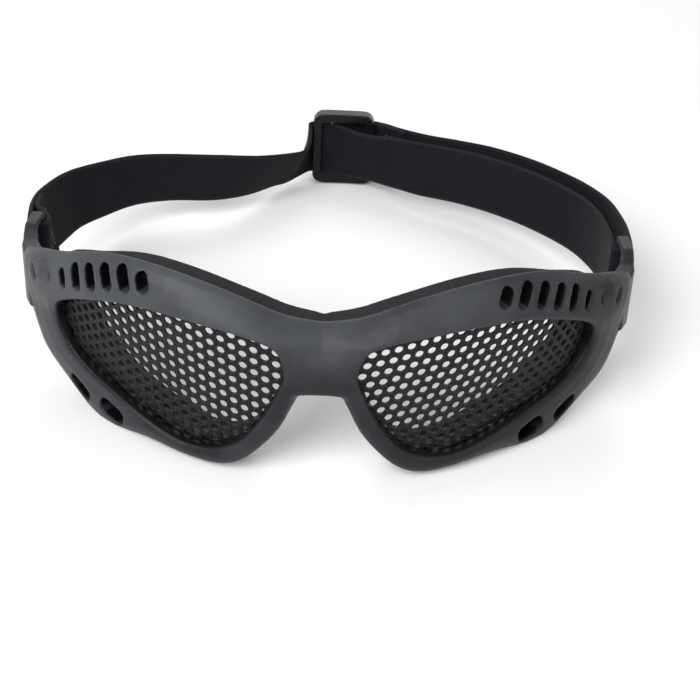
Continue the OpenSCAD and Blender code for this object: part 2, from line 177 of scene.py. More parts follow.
def from_front(place):
    """The reverse: along, up and out, in mm, of a place in metres."""
    p = HALF_BACK @ (Vector((abs(place.x), place.y, place.z)) / MM)
    return (math.atan2(p.x, -p.y) - NOSE_TURN) * LENS_R, p.z, math.hypot(p.x, p.y) - LENS_R


def front_block(outline, low, high, side):
    """A block on the front with the given outline, from one height out of it to another."""
    count = len(outline)
    bpy.ops.object.select_all(action="DESELECT")
    bpy.ops.mesh.primitive_cylinder_add(vertices=count, radius=1, depth=2, end_fill_type="NGON")
    block = bpy.context.object
    for v in block.data.vertices:
        p = outline[round(math.atan2(v.co.y, v.co.x) / (2 * math.pi) * count) % count]
        v.co = on_front(p[0], p[1], high if v.co.z > 0 else low, side)
    face_outward(block)
    return block


# %% Opening of a lens: its edge, as shares of its width and height
EYE_FROM, EYE_W, EYE_H, EYE_MID = 8, 75.3, 44.2, 0.593
EDGE = [(0.008, 0.638), (0.016, 0.559), (0.041, 0.480), (0.079, 0.367), (0.136, 0.231),
        (0.217, 0.088), (0.306, 0.016), (0.385, 0), (0.480, 0.023), (0.615, 0.122),
        (0.764, 0.253), (0.873, 0.348), (0.962, 0.457), (1, 0.581), (1, 0.683), (0.959, 0.803),
        (0.886, 0.878), (0.778, 0.939), (0.642, 0.986), (0.507, 1), (0.331, 0.962),
        (0.163, 0.896), (0.054, 0.826), (0.014, 0.751)]
eye_edge = [Vector((EYE_FROM + EYE_W * a, (b - EYE_MID) * EYE_H)) for a, b in EDGE]


def inside(point, loop):
    crossings = 0
    for a, b in zip(loop, loop[1:] + loop[:1]):
        if (a[1] > point[1]) != (b[1] > point[1]):
            if point[0] < a[0] + (b[0] - a[0]) * (point[1] - a[1]) / (b[1] - a[1]):
                crossings += 1
    return crossings % 2 == 1


def edge_distance(point, loop):
    best = 1e9
    for a, b in zip(loop, loop[1:] + loop[:1]):
        step = b - a
        t = max(0.0, min(1.0, (point - a).dot(step) / step.length_squared))
        best = min(best, (point - a - step * t).length)
    return best


# %% [markdown]
# In the photograph the vents are crisp cuts with nearly square ends, and relaxing the skin would
# narrow them. So they are opened a little further than in the CAD first, by blocks that pass
# through the wall as the pins of the mould do. All of them are joined and cut at once.

# %% Vents: along, up, width, length and slant of each
SLOT_W, SLOT_L, SLOT_SLANT = 3.3, 6.9, 20
SLOTS_FROM, SLOT_PITCH, SLOTS_UP = 44.3, 5.9, (24.7, 24.9, 24.2, 22.9, 21.4, 19.5)
VENTS = [(SLOTS_FROM + SLOT_PITCH * i, up, SLOT_W * (0.7 if i == 5 else 1),
          SLOT_L * (0.75 if i in (0, 5) else 1), SLOT_SLANT) for i, up in enumerate(SLOTS_UP)]
VENTS += [(80.5, -19.9, 7.0, 8.8, 57), (66.9, -23.0, 7.0, 8.8, 62)]
PIN_POINTS, PIN_FROM, PIN_TO = 32, -14, 9
# the outline goes from a circle, at 1, towards a square, at 0
SQUARE = 0.55


def squared(value):
    return math.copysign(abs(value) ** SQUARE, value)


def vent_pin(vent, side):
    along, up, wide, long, slant = vent
    slant = math.radians(slant)
    outline = []
    for i in range(PIN_POINTS):
        a = 2 * math.pi * i / PIN_POINTS
        across, lengthwise = squared(math.cos(a)) * wide / 2, squared(math.sin(a)) * long / 2
        outline.append((along + across * math.cos(slant) + lengthwise * math.sin(slant),
                        up - across * math.sin(slant) + lengthwise * math.cos(slant)))
    return front_block(outline, PIN_FROM, PIN_TO, side)


def open_vents(obj):
    pins = [vent_pin(vent, side) for vent in VENTS for side in (1, -1)]
    only(pins[0])
    for pin in pins:
        pin.select_set(True)
    bpy.ops.object.join()
    cut = obj.modifiers.new("vents", "BOOLEAN")
    cut.operation, cut.solver, cut.object = "DIFFERENCE", "EXACT", pins[0]
    apply_all(obj)
    bpy.data.objects.remove(pins[0])
    obj.data.materials.clear()
    return len(pins)


# %% [markdown]
# The frame is one soft rubber moulding, so no edge on it is sharp and the brow, the cheeks and
# the ears run into each other. Bevelling hundreds of faceted edges would leave creases. A voxel
# remesh of the CAD shape gives an even skin instead, and relaxing that skin rounds every edge
# a little, as a mould does. The skin is then thinned to what the export keeps.

# %% Rubber frame
FRAME_TRIANGLES, FRAME_VOXEL, FRAME_ROUNDS = 190000, 0.42, 9
rubber = merged_copy("frame", "rubber_frame")
print("vents opened", open_vents(rubber))
skin(rubber, FRAME_VOXEL, FRAME_ROUNDS)
print("remeshed frame", triangles(rubber))
thin = rubber.modifiers.new("thin", "DECIMATE")
thin.ratio = min(1.0, FRAME_TRIANGLES / triangles(rubber))
apply_all(rubber)
smooth(rubber)
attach(rubber, "goggles")
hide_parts("frame")
print("rubber frame", triangles(rubber))

# %% [markdown]
# The wall of the groove round each lens and the walls of the vents get painted shade: a near black,
# darker than the rubber's own colour, while the outside of the rubber has a pale haze. A number is
# kept on each vertex, 1 on those walls and 0 elsewhere, and the rubber's material reads it.
# Painting it by place follows the walls exactly, which a shade from the light would not.

# %% Painted shade on the walls, in mm from the edge of the lens's opening or of the vent
WALL_REACH, WALL_SIDE_FADE = 1.3, 0.5
# the painted shade covers the wall up to this height over the sheet, and the haze starts above the
# fade
WALL_TOP, WALL_FADE = 3.4, 0.9
NEAR_FRONT, NEAR_EYE = 8, 3
LIP_FROM, LIP_TO = 0.1, 0.4
# the lower end of a slot is lit, so it gets little painted shade
FOOT, FOOT_SHADE = 0.9, 0.2


def clamp(value):
    return max(0.0, min(1.0, value))


def vent_shade_share(spot):
    """Painted shade: 1 in a vent and on its lip, 0 beyond it; little on the lower end of a slot,
    which is lit.
    """
    for along, up, wide, long, slant in VENTS:
        a = math.radians(slant)
        step = spot - Vector((along, up))
        lengthwise = step.x * math.sin(a) + step.y * math.cos(a)
        sideways = step.x * math.cos(a) - step.y * math.sin(a)
        past_straight = max(0.0, abs(lengthwise) - (long - wide) / 2)
        beyond = math.hypot(past_straight, sideways) - wide / 2
        if beyond < LIP_TO:
            at_foot = lengthwise < FOOT - long / 2 and slant == SLOT_SLANT
            share = clamp((LIP_TO - beyond) / (LIP_TO - LIP_FROM))
            return share * (FOOT_SHADE if at_foot else 1)
    return 0


# painted shade: 1 where a wall's colour goes near black
wall_shade = rubber.data.attributes.new("wall_shade", "FLOAT", "POINT")
marked = 0
for v in rubber.data.vertices:
    along, up, out = from_front(v.co)
    spot = Vector((along, up))
    share = 0
    if abs(out) < NEAR_FRONT and EYE_FROM - NEAR_EYE < along < EYE_FROM + EYE_W + NEAR_EYE:
        near = edge_distance(spot, eye_edge)
        if near < WALL_REACH:
            share = (clamp((WALL_TOP + WALL_FADE - out) / WALL_FADE)
                     * clamp((WALL_REACH - near) / WALL_SIDE_FADE))
    wall_shade.data[v.index].value = max(share, vent_shade_share(spot))
    marked += wall_shade.data[v.index].value > 0
print("vertices on bare walls", marked)

# %% [markdown]
# The gasket is soft foam with open pores, cut from sheet and glued on.

# %% Face foam
FOAM_VOXEL, FOAM_ROUNDS = 0.6, 8
foam = merged_copy("face_foam", "foam_gasket")
skin(foam, FOAM_VOXEL, FOAM_ROUNDS)
smooth(foam)
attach(foam, "goggles")
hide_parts("face_foam")
print("foam", triangles(foam))

# %% [markdown]
# The lenses are steel sheet with round holes in staggered rows. Cutting hundreds of holes with
# booleans is slow and leaves poor faces. One cell, a hexagon with a round hole, is modelled once,
# copied over the lens, bent to the front's curve and given the sheet's thickness. Only the outer
# edge, which sits in the rubber's groove, is cut with a boolean.

# %% One cell of the sheet
HOLE_PITCH, HOLE_R, HOLE_SIDES = 3.55, 1.2, 18
CORNER = math.radians(60)


def holed_cell(name):
    """A flat hexagon, one pitch wide, with a round hole."""
    bpy.ops.object.select_all(action="DESELECT")
    bpy.ops.mesh.primitive_circle_add(vertices=HOLE_SIDES, radius=HOLE_PITCH / 2, fill_type="NGON")
    cell = bpy.context.object
    cell.name = cell.data.name = name
    edit_all(cell)
    ring = bmesh.from_edit_mesh(cell.data)
    for v in ring.verts:
        # pull the ring out to a hexagon's straight sides, with its corners across the rows
        a = math.atan2(v.co.y, v.co.x)
        r = HOLE_PITCH / 2 / math.cos(a % CORNER - CORNER / 2)
        a += CORNER / 2
        v.co = Vector((r * math.cos(a), r * math.sin(a), 0))
    bmesh.update_edit_mesh(cell.data)
    bpy.ops.mesh.inset(thickness=0.01)
    ring = bmesh.from_edit_mesh(cell.data)
    for f in [f for f in ring.faces if f.select]:
        for v in f.verts:
            v.co = v.co.normalized() * HOLE_R
    bmesh.update_edit_mesh(cell.data)
    bpy.ops.mesh.delete(type="FACE")
    bpy.ops.object.mode_set(mode="OBJECT")
    return cell


# %% Both lenses
SHEET_T, SEAT, SEAT_DEPTH = 0.8, 2.2, 12
# a cell whose middle lies further than this past the opening's edge isn't needed
CELL_REACH = SEAT + HOLE_PITCH / 2 + 0.4
# faces that meet at less than this angle, in degrees, are shaded as one
SHEET_SMOOTH = 40
CELL_MERGE = 0.02 * MM


def seat_block(side):
    """A block with the outline of the seated sheet, deeper than the lens is curved."""
    outline = []
    for i, p in enumerate(eye_edge):
        along = (eye_edge[(i + 1) % len(eye_edge)] - eye_edge[i - 1]).normalized()
        outline.append(p + Vector((along.y, -along.x)) * SEAT)
    return front_block(outline, -SEAT_DEPTH, SEAT_DEPTH, side)


def lens(name, node, side, turn_deg):
    """Perforated sheet: one holed cell, copied over the lens, bent and cut to the outline."""
    sheet = holed_cell(name)
    turn = math.radians(turn_deg)
    verts = [v.co.copy() for v in sheet.data.vertices]
    faces = [tuple(p.vertices) for p in sheet.data.polygons]
    reach = math.ceil(EYE_W / HOLE_PITCH)
    middle = EYE_FROM + EYE_W / 2
    all_v, all_f, cells = [], [], 0
    for i in range(-reach, reach + 1):
        for j in range(-reach, reach + 1):
            x, y = (i + j / 2) * HOLE_PITCH, j * HOLE_PITCH * math.sin(CORNER)
            spot = Vector((middle + x * math.cos(turn) - y * math.sin(turn),
                           x * math.sin(turn) + y * math.cos(turn)))
            if not inside(spot, eye_edge) and edge_distance(spot, eye_edge) > CELL_REACH:
                continue
            base = len(all_v)
            for v in verts:
                along = spot.x + v.x * math.cos(turn) - v.y * math.sin(turn)
                up = spot.y + v.x * math.sin(turn) + v.y * math.cos(turn)
                all_v.append(on_front(along, up, 0, side))
            all_f += [tuple(base + k for k in f) for f in faces]
            cells += 1
    sheet.data.clear_geometry()
    sheet.data.from_pydata(all_v, [], all_f)
    edit_all(sheet)
    bpy.ops.mesh.remove_doubles(threshold=CELL_MERGE)
    bpy.ops.object.mode_set(mode="OBJECT")
    wall = sheet.modifiers.new("sheet", "SOLIDIFY")
    wall.thickness = SHEET_T * MM
    wall.offset = 0
    apply_all(sheet)
    face_outward(sheet)
    block = seat_block(side)
    cut = sheet.modifiers.new("outline", "BOOLEAN")
    cut.operation, cut.solver, cut.object = "INTERSECT", "MANIFOLD", block
    before = triangles(sheet)
    apply_all(sheet)
    bpy.data.objects.remove(block)
    sheet.data.materials.clear()
    smooth(sheet, SHEET_SMOOTH)
    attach(sheet, "goggles")
    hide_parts(node)
    print(name, cells, "cells,", before, "to", triangles(sheet), "triangles")
    return sheet


# the rows of holes run at another slant on each lens, as read from the photograph
lenses = [lens("mesh_left", "lens_left", 1, 18), lens("mesh_right", "lens_right", -1, 37)]

# %% [markdown]
# The strap, its return run and the slider share one plane, which falls from the ears towards the
# table behind. All the webbing is one length on the real goggles: sewn round one ear's bar, round
# the head, through the slider, round the other ear's bar and back to the slider, where it is sewn
# to the middle bar. So it is drawn here as one path, seen from above in that plane, and each
# point also says how far the webbing leans, because slack webbing lies over to one side.

# %% Plane of the strap
BAR_Y, BAR_Z, FALL_DEG = 70.9, 28.7, -7.3809
BARS = (Matrix.Translation(Vector((0, BAR_Y - MIDDLE_Y, BAR_Z)))
        @ Matrix.Rotation(math.radians(FALL_DEG), 4, "X"))
BAR_X, FOLD_R = 90.6, 2.7
BACK_MID, BACK_R = Vector((2, 23)), 89.7
SLIDER = BACK_MID + Vector((0, BACK_R))
STRAP_T = 1.3
OUTER_R, LOOP_IN_R = 94.65, 91.3
MIDDLE_TURN = 1.2775


def bars(x, y, z=0):
    """A point of the strap's plane, in metres: mm from the midline, behind the bars, above it."""
    return (BARS @ Vector((x, y, z))) * MM


def arc(r, deg):
    """A row round the back of the head, at a radius and an angle from its middle."""
    a = math.radians(deg)
    return [BACK_MID.x + r * math.sin(a), BACK_MID.y + r * math.cos(a), 0, 0]


def by_slider(x, y, z=0, lean=0):
    return [SLIDER.x + x, SLIDER.y + y, z, lean]


def fold(side):
    """Half a turn round an ear's bar, from its inner side to its outer side."""
    return [[side * (BAR_X - FOLD_R * math.cos(a)), -FOLD_R * math.sin(a), 0, 0]
            for a in [math.pi * i / 6 for i in range(7)]]


# %% [markdown]
# Each row is a place of the webbing: x, y behind the bars, height, and the lean of its top in
# degrees, towards the left-hand side of the way it runs. The run on the -X side lies well over
# before the slider, with its lower edge just above the table. After the slider's first bar the
# webbing comes forward, over the second one, as in the photograph.

# %% Path of the webbing
SEWN_UNDER = Vector((-0.6, -0.8)) * (STRAP_T + 0.3)
loop_mid, loop_r = (LOOP_IN_R + OUTER_R) / 2, (OUTER_R - LOOP_IN_R) / 2
sewn_end = [[-92.6, 22, 0, -13], [-92.95, 15, 0, -9], [-89.8, 8.5, 0, -4], [-88, 3.5, 0, 0]]
right_run = [[-94.2, 8, 0, 4], [-94.4, 18, 0, 12], [-93.3, 29, 0, 17], [-89.5, 44, 0, 13],
             [-81.5, 55.5, 0, 2], [-72, 65.5, 0, -8], [-60, 71, -0.3, -14], [-44, 74, -0.8, -16],
             [-30.5, 82.5, -2.4, -27], by_slider(-22.5, -18, -4, -36),
             by_slider(-18, -11.5, -4.4, -34), by_slider(-14.6, -4, -1.6, -14)]
through = [arc(BACK_R, -8.3), arc(BACK_R, -5.2)[:2] + [-0.3, 3], by_slider(-4, -1.3, -0.35, 4),
           by_slider(1, -4.4, -0.4, -3), by_slider(6.5, -7.8, -0.5, -11),
           by_slider(12, -10.9, -0.6, -10), by_slider(17.5, -14.2, -0.3, -3),
           by_slider(24, -18.6, 0, 3)]
left_run = [[33, 90, 0, 8], [45, 84.5, 0, 9], [56, 77, 0, 9], [67, 66.5, 0, 8], [76.5, 54, 0, 6],
            [83.5, 41.5, 0, 4], [87, 30, 0, 2], [88.4, 20, 0, 0], [88.4, 9, 0, 0]]
return_run = [[94.2, 9, 0, 0], [94.3, 21, 0, -2], [92.2, 39, 0, -5], [87, 53.5, 0, -6],
              [80, 65.5, 0, -6], [70.5, 78, 0, -6], [58, 89.5, 0, -5], [46, 96, 0, -4],
              by_slider(32, -11.2, 0, -2), by_slider(22, -4.2), by_slider(16.5, 0.8)]
middle_loop = []
for i in range(9):
    a = math.pi * i / 8
    out, along = loop_mid + loop_r * math.cos(a), -loop_r * math.sin(a)
    t = math.radians(-MIDDLE_TURN)
    middle_loop.append([BACK_MID.x + out * math.sin(t) + along * math.cos(t),
                        BACK_MID.y + out * math.cos(t) - along * math.sin(t), 0, 0])
slider_end = [arc(LOOP_IN_R, 1.8), arc(LOOP_IN_R + 0.4, 3.3)]
slider_end += [by_slider(SEWN_UNDER.x + x, SEWN_UNDER.y + y)
               for x, y in ((16, 1.1), (22, -4.2), (24.5, -6.1))]
rows = (sewn_end + fold(-1) + right_run + through + left_run + fold(1) + return_run
        + [arc(OUTER_R, a) for a in (6, 3, 0.5)] + middle_loop + slider_end)


def even_path(rows, spans, step):
    """A smooth curve through the rows, in equal steps along its length."""
    curve = []
    for i in range(len(rows) - 1):
        a, b, c, d = rows[max(i - 1, 0)], rows[i], rows[i + 1], rows[min(i + 2, len(rows) - 1)]
        for j in range(spans):
            t = j / spans
            curve.append([0.5 * (2 * q + (r - p) * t + (2 * p - 5 * q + 4 * r - s) * t * t
                                 + (3 * q - p - 3 * r + s) * t ** 3)
                          for p, q, r, s in zip(a, b, c, d)])
    curve.append(list(rows[-1]))
    lengths = [0]
    for a, b in zip(curve, curve[1:]):
        lengths.append(lengths[-1] + math.dist(a[:2], b[:2]))
    count = round(lengths[-1] / step)
    out, k = [], 0
    for i in range(count + 1):
        s = lengths[-1] * i / count
        while k < len(curve) - 2 and lengths[k + 1] < s:
            k += 1
        t = (s - lengths[k]) / (lengths[k + 1] - lengths[k])
        out.append([p + (q - p) * t for p, q in zip(curve[k], curve[k + 1])])
    return out, lengths[-1] / count


path, RING_STEP = even_path(rows, spans=8, step=1.1)
print("webbing", round(RING_STEP * (len(path) - 1)), "mm long, in", len(path), "rings")


def on_web(i, across, out):
    """A point by ring i of the webbing, in metres: mm across it from its middle, and out of it."""
    a, b = path[max(i - 1, 0)], path[min(i + 1, len(path) - 1)]
    run = Vector((b[0] - a[0], b[1] - a[1])).normalized()
    side = Vector((-run.y, run.x))
    x, y, z, lean = path[i]
    c, s = math.cos(math.radians(lean)), math.sin(math.radians(lean))
    sideways = across * s + out * c
    return bars(x + side.x * sideways, y + side.y * sideways, z + across * c - out * s)


def nearest_ring(x, y, start, end):
    return min(range(start, end), key=lambda i: math.dist(path[i][:2], (x, y)))


# %% [markdown]
# The path is split into five pieces, because the goggles, the strap and the slider move apart: two
# at the ears and three between them. Neighbours share their last ring, so no gap shows. Each piece
# is a grid whose short way is wrapped round the webbing's flat section, with its rounded selvedges,
# and then closed.

# %% Webbing
FLAT, FLAT_SPANS, HALF_T = 9.55, 12, STRAP_T / 2
flat_side = [(FLAT * (2 * i / FLAT_SPANS - 1), HALF_T) for i in range(FLAT_SPANS + 1)]
half_section = flat_side + [(9.88, 0.42), (10, 0), (9.88, -0.42)]
SECTION = half_section + [(-across, -out) for across, out in half_section]
WEB_SMOOTH = 60


def webbing(name, first, last):
    """The webbing from one ring of the path to another, with its own UV map in metres."""
    bpy.ops.object.select_all(action="DESELECT")
    spans = last - first
    bpy.ops.mesh.primitive_grid_add(x_subdivisions=spans, y_subdivisions=len(SECTION), size=1)
    piece = bpy.context.object
    piece.name = piece.data.name = name
    places = [(round((v.co.x + 0.5) * spans), round((v.co.y + 0.5) * len(SECTION)) % len(SECTION))
              for v in piece.data.vertices]
    uv = piece.data.uv_layers.active
    for corner in piece.data.loops:
        ring, k = places[corner.vertex_index]
        uv.data[corner.index].uv = ((first + ring) * RING_STEP * MM, SECTION[k][0] * MM)
    for v, (ring, k) in zip(piece.data.vertices, places):
        v.co = on_web(first + ring, SECTION[k][0], SECTION[k][1])
    edit_all(piece)
    bpy.ops.mesh.remove_doubles(threshold=MERGE)
    bpy.ops.mesh.fill_holes(sides=0)
    face_outward(piece)
    smooth(piece, WEB_SMOOTH)
    print(name, triangles(piece), "triangles")
    return piece


# %% Five pieces of webbing
JOIN_Y, LEFT_X = 40, 60
count = len(path)
ear_turn = nearest_ring(-BAR_X, -FOLD_R, 0, count // 2)
far_turn = nearest_ring(BAR_X, -FOLD_R, count // 3, count)
at_slider = nearest_ring(SLIDER.x - 10, SLIDER.y - 0.7, ear_turn, far_turn)
first_join = next(i for i in range(ear_turn, at_slider) if path[i][1] > JOIN_Y)
second_join = next(i for i in range(at_slider, far_turn)
                   if path[i][0] > LEFT_X and path[i][1] < JOIN_Y)
third_join = next(i for i in range(far_turn, count) if path[i][1] > JOIN_Y)
right_ear = webbing("webbing_right_ear", 0, first_join)
right_side = webbing("webbing_right", first_join, at_slider)
left_side = webbing("webbing_left", at_slider, second_join)
left_ear = webbing("webbing_left_ear", second_join, third_join)
return_side = webbing("webbing_return", third_join, count - 1)
web_pieces = [right_ear, right_side, left_side, left_ear, return_side]

for piece, side in ((right_ear, -1), (left_ear, 1)):
    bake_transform(piece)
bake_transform(right_side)
for piece in (left_side, return_side):
    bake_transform(piece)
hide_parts("strap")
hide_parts("strap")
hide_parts("strap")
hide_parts("strap", "strap_return")
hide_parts("strap_return")

# %% [markdown]
# Each sewn end is held by a bar tack: rows of close zigzag stitches through both layers. One
# stitch is a short thread with pinched ends. It is modelled once from a cylinder, copied along
# the rows on both faces of the webbing, and the copies are joined into one piece.

# %% One stitch
STITCH_R, STITCH_L, TIP_L, TIP_SHARE = 0.22, 1.5, 0.25, 0.45
bpy.ops.object.select_all(action="DESELECT")
bpy.ops.mesh.primitive_cylinder_add(vertices=6, radius=STITCH_R * MM, depth=STITCH_L * MM,
                                    end_fill_type="NGON")
one_stitch = bpy.context.object
for end in (1, -1):
    only(one_stitch)
    bpy.ops.object.mode_set(mode="EDIT")
    bpy.ops.mesh.select_all(action="DESELECT")
    faces = bmesh.from_edit_mesh(one_stitch.data)
    faces.select_mode = {"FACE"}
    for f in faces.faces:
        f.select = f.normal.z * end > 0.9
    faces.select_flush_mode()
    bmesh.update_edit_mesh(one_stitch.data)
    bpy.ops.mesh.extrude_region_move(TRANSFORM_OT_translate={"value": (0, 0, end * TIP_L * MM)})
    bpy.ops.transform.resize(value=(TIP_SHARE, TIP_SHARE, 1))
bpy.ops.object.mode_set(mode="OBJECT")
stitch_verts = [v.co.copy() for v in one_stitch.data.vertices]
print("one stitch", triangles(one_stitch), "triangles")

# %% Bar tacks
ROW_H, ROWS, ROW_PITCH, PER_ROW, ZIGZAG_DEG, RAISED = 12, 3, 2.2, 13, 38, 0.08


def bar_tack(name, faces):
    """Rows of stitches. faces: the ring at the middle of the tack, and which side of it is sewn."""
    copies = []
    for ring, side in faces:
        for row in range(ROWS):
            at = ring + round((row - (ROWS - 1) / 2) * ROW_PITCH / RING_STEP)
            for k in range(PER_ROW):
                across = (k / (PER_ROW - 1) - 0.5) * ROW_H
                centre = on_web(at, across, side * (STRAP_T / 2 + RAISED))
                up = (on_web(at, across + 1, side) - on_web(at, across, side)).normalized()
                out = (on_web(at, across, 1) - on_web(at, across, 0)).normalized()
                run = up.cross(out)
                slant = math.radians(ZIGZAG_DEG if k % 2 else -ZIGZAG_DEG)
                thread = (up * math.sin(slant) + run * math.cos(slant)).normalized()
                turn = Matrix((out, thread.cross(out), thread)).transposed()
                copy = one_stitch.copy()
                copy.data = one_stitch.data.copy()
                bpy.context.scene.collection.objects.link(copy)
                for v, co in zip(copy.data.vertices, stitch_verts):
                    v.co = centre + turn @ co
                copies.append(copy)
    only(copies[0])
    for copy in copies:
        copy.select_set(True)
    bpy.ops.object.join()
    tack = bpy.context.object
    tack.name = tack.data.name = name
    face_outward(tack)
    smooth(tack, WEB_SMOOTH)
    print(name, len(copies), "stitches")
    return tack


ear_stitches = bar_tack("ear_stitches", [
    (nearest_ring(-92.8, 17.5, 0, ear_turn), 1),
    (nearest_ring(-94.4, 17.5, ear_turn, first_join), 1)])
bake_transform(ear_stitches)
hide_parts("ear_tack")
turn_back = nearest_ring(*middle_loop[4][:2], third_join, count)
slider_stitches = bar_tack("slider_stitches", [
    (nearest_ring(SLIDER.x + 19.5, SLIDER.y - 1.9, third_join, turn_back), -1),
    (nearest_ring(SLIDER.x + 18.6, SLIDER.y - 2.5, turn_back, count), -1)])
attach(slider_stitches, "slider")
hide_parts("slider_tack")
bpy.data.objects.remove(one_stitch)

# %% [markdown]
# The slider is a moulded three-bar slider in smooth plastic. The CAD solid has its bars and
# windows where they belong. The same relaxed skin as on the frame, only finer, rounds the bars,
# and the plastic's sheen then draws a light line along every rounded edge.

# %% Slider
SLIDER_VOXEL, SLIDER_ROUNDS = 0.3, 6
slider = merged_copy("slider", "tri_glide")
skin(slider, SLIDER_VOXEL, SLIDER_ROUNDS)
smooth(slider)
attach(slider, "slider")
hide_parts("slider")
print("slider", triangles(slider), "triangles")

# %% [markdown]
# Every finish below is built from nodes in metres, so its grain or weave has its real size. The
# grain of moulded and coated surfaces, edge wear and the thread pattern of woven goods are node
# groups: each is built once, and placed with other values. A few helpers keep the wiring short.

# %% Node helpers
def group(name, inputs, outputs):
    """A new node group: its tree, what is given to it and what it puts out."""
    tree = bpy.data.node_groups.new(name, "ShaderNodeTree")
    for label, kind, value in inputs:
        socket = tree.interface.new_socket(label, in_out="INPUT", socket_type=kind)
        if value is not None:
            socket.default_value = value
    for label, kind in outputs:
        tree.interface.new_socket(label, in_out="OUTPUT", socket_type=kind)
    given = tree.nodes.new("NodeGroupInput").outputs
    return tree, given, tree.nodes.new("NodeGroupOutput").inputs


def feed(tree, value, socket):
    """Link a socket to another one, or set a plain value on it."""
    if isinstance(value, bpy.types.NodeSocket):
        tree.links.new(value, socket)
    else:
        socket.default_value = value


def calc(tree, operation, *values, clamp=False):
    node = tree.nodes.new("ShaderNodeMath")
    node.operation = operation
    node.use_clamp = clamp
    for value, socket in zip(values, node.inputs):
        feed(tree, value, socket)
    return node.outputs[0]


def noise(tree, vector, scale, detail=2.0):
    node = tree.nodes.new("ShaderNodeTexNoise")
    feed(tree, vector, node.inputs["Vector"])
    feed(tree, scale, node.inputs["Scale"])
    node.inputs["Detail"].default_value = detail
    return node.outputs["Fac"]


def ramp(tree, value, low, high, to_low=0.0, to_high=1.0):
    node = tree.nodes.new("ShaderNodeMapRange")
    for label, v in (("Value", value), ("From Min", low), ("From Max", high),
                     ("To Min", to_low), ("To Max", to_high)):
        feed(tree, v, node.inputs[label])
    return node.outputs["Result"]


def blend_colour(tree, share, a, b):
    node = tree.nodes.new("ShaderNodeMix")
    node.data_type = "RGBA"
    feed(tree, share, node.inputs["Factor"])
    feed(tree, a if isinstance(a, bpy.types.NodeSocket) else (*a, 1), node.inputs["A"])
    feed(tree, b if isinstance(b, bpy.types.NodeSocket) else (*b, 1), node.inputs["B"])
    # the colour is the third of this node's outputs
    return node.outputs[2]


def bump(tree, height, strength, depth_mm):
    node = tree.nodes.new("ShaderNodeBump")
    node.inputs["Strength"].default_value = strength
    node.inputs["Distance"].default_value = depth_mm * MM
    tree.links.new(height, node.inputs["Height"])
    return node.outputs["Normal"]


# %% Grain group
grain, given, put_out = group(
    "moulded_grain",
    [("Vector", "NodeSocketVector", None), ("Grains per metre", "NodeSocketFloat", 2500.0)],
    [("Height", "NodeSocketFloat"), ("Patches", "NodeSocketFloat")])
fine = noise(grain, given["Vector"], given["Grains per metre"], 3.0)
broad = noise(grain, given["Vector"], calc(grain, "DIVIDE", given["Grains per metre"], 45.0), 3.0)
grain.links.new(fine, put_out["Height"])
grain.links.new(ramp(grain, broad, 0.36, 0.66), put_out["Patches"])

# %% Edge wear group
wear, given, put_out = group(
    "edge_wear", [("Vector", "NodeSocketVector", None), ("Amount", "NodeSocketFloat", 0.5)],
    [("Mask", "NodeSocketFloat")])
pointed = wear.nodes.new("ShaderNodeNewGeometry").outputs["Pointiness"]
edge_line = ramp(wear, pointed, 0.51, 0.6)
rubbed = ramp(wear, noise(wear, given["Vector"], 420.0, 3.0), 0.35, 0.7)
mask = calc(wear, "MULTIPLY", calc(wear, "MULTIPLY", edge_line, rubbed), given["Amount"],
            clamp=True)
wear.links.new(mask, put_out["Mask"])

# %% Weave group
weave, given, put_out = group(
    "woven_threads",
    [("UV", "NodeSocketVector", None), ("Rows per metre", "NodeSocketFloat", 900.0),
     ("Cords per metre", "NodeSocketFloat", 750.0)],
    [("Height", "NodeSocketFloat"), ("Gap shade", "NodeSocketFloat")])
split = weave.nodes.new("ShaderNodeSeparateXYZ")
weave.links.new(given["UV"], split.inputs[0])
rows_along = calc(weave, "MULTIPLY", split.outputs[0], given["Rows per metre"])
cords_across = calc(weave, "MULTIPLY", split.outputs[1], given["Cords per metre"])
row_wave = calc(weave, "SINE", calc(weave, "MULTIPLY", rows_along, math.pi))
cord_wave = calc(weave, "SINE", calc(weave, "MULTIPLY", cords_across, math.pi))
# a row is over the cords where both waves have the same sign, and under them elsewhere
over = calc(weave, "GREATER_THAN", calc(weave, "MULTIPLY", row_wave, cord_wave), 0.0)
under = calc(weave, "SUBTRACT", 1.0, over)
row_top, cord_top = calc(weave, "ABSOLUTE", row_wave), calc(weave, "ABSOLUTE", cord_wave)
low_cord = calc(weave, "MULTIPLY", calc(weave, "MULTIPLY", cord_top, 0.7), under)
level = calc(weave, "ADD", calc(weave, "MULTIPLY", row_top, over), low_cord)
# painted shade: this mask is highest in the gaps between rows and cords, where the weave lies in
# shade
gap_shade = calc(weave, "SUBTRACT", 1.0, calc(weave, "MULTIPLY", row_top, cord_top))
weave.links.new(level, put_out["Height"])
weave.links.new(gap_shade, put_out["Gap shade"])


# %% Material helpers
def material(name, **constants):
    """A new material, its tree and its shader's inputs, with constants set on those inputs."""
    mat = bpy.data.materials.new(name)
    mat.use_nodes = True
    shader = mat.node_tree.nodes["Principled BSDF"]
    for label, value in constants.items():
        shader.inputs[label.replace("_", " ")].default_value = value
    return mat, mat.node_tree, shader.inputs


def object_place(tree):
    return tree.nodes.new("ShaderNodeTexCoord").outputs["Object"]


def place_group(tree, kind, **values):
    node = tree.nodes.new("ShaderNodeGroup")
    node.node_tree = kind
    for label, value in values.items():
        feed(tree, value, node.inputs[label.replace("_", " ")])
    return node.outputs
